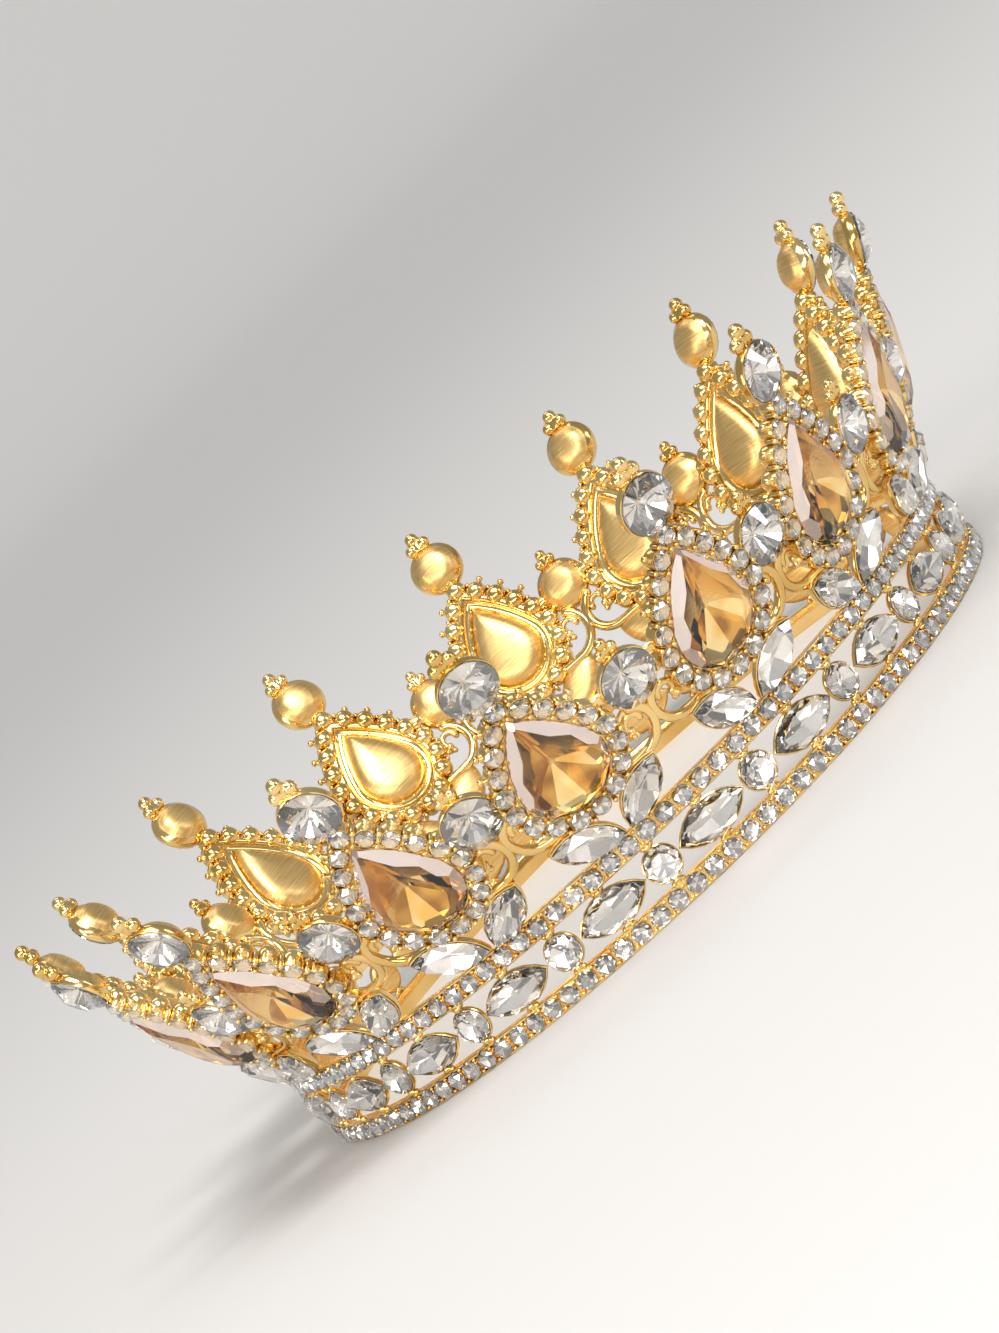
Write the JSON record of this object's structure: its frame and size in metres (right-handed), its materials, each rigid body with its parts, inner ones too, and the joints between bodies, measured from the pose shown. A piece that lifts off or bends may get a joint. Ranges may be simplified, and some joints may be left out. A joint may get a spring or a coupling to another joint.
{
  "type": "teardrop tiara, a full round crown",
  "caption": "Full round gilt crown with champagne teardrop stones in clear halos, rounds on the points and between, and a pierced band of navettes and rounds.",
  "frame": {"origin": "centre of the round base, on the plane of the lower rail's bottom face", "axes": "+Z is the crown's axis, up towards the points, and +X points to the middle of unit 1"},
  "size_m": [0.1738, 0.1704, 0.0544],
  "materials": {
    "gilt_metal": "bright yellow gilt cast alloy",
    "champagne_stone": "cut champagne glass",
    "clear_stone": "cut clear crystal glass"
  },
  "bodies": {
    "root": {"frame": "gilt_metal", "teardrop_1": "champagne_stone", "teardrop_2": "champagne_stone", "teardrop_3": "champagne_stone", "teardrop_4": "champagne_stone", "teardrop_5": "champagne_stone", "teardrop_6": "champagne_stone", "teardrop_7": "champagne_stone", "teardrop_8": "champagne_stone", "teardrop_9": "champagne_stone", "teardrop_10": "champagne_stone", "teardrop_11": "champagne_stone", "teardrop_12": "champagne_stone", "teardrop_13": "champagne_stone", "teardrop_14": "champagne_stone", "teardrop_15": "champagne_stone", "teardrop_16": "champagne_stone", "point_stone_1": "clear_stone", "point_stone_2": "clear_stone", "point_stone_3": "clear_stone", "point_stone_4": "clear_stone", "point_stone_5": "clear_stone", "point_stone_6": "clear_stone", "point_stone_7": "clear_stone", "point_stone_8": "clear_stone", "point_stone_9": "clear_stone", "point_stone_10": "clear_stone", "point_stone_11": "clear_stone", "point_stone_12": "clear_stone", "point_stone_13": "clear_stone", "point_stone_14": "clear_stone", "point_stone_15": "clear_stone", "point_stone_16": "clear_stone", "between_stones": "clear_stone", "leaf_stones": "clear_stone", "band_navettes": "clear_stone", "band_rounds": "clear_stone"}
  },
  "joints": []
}
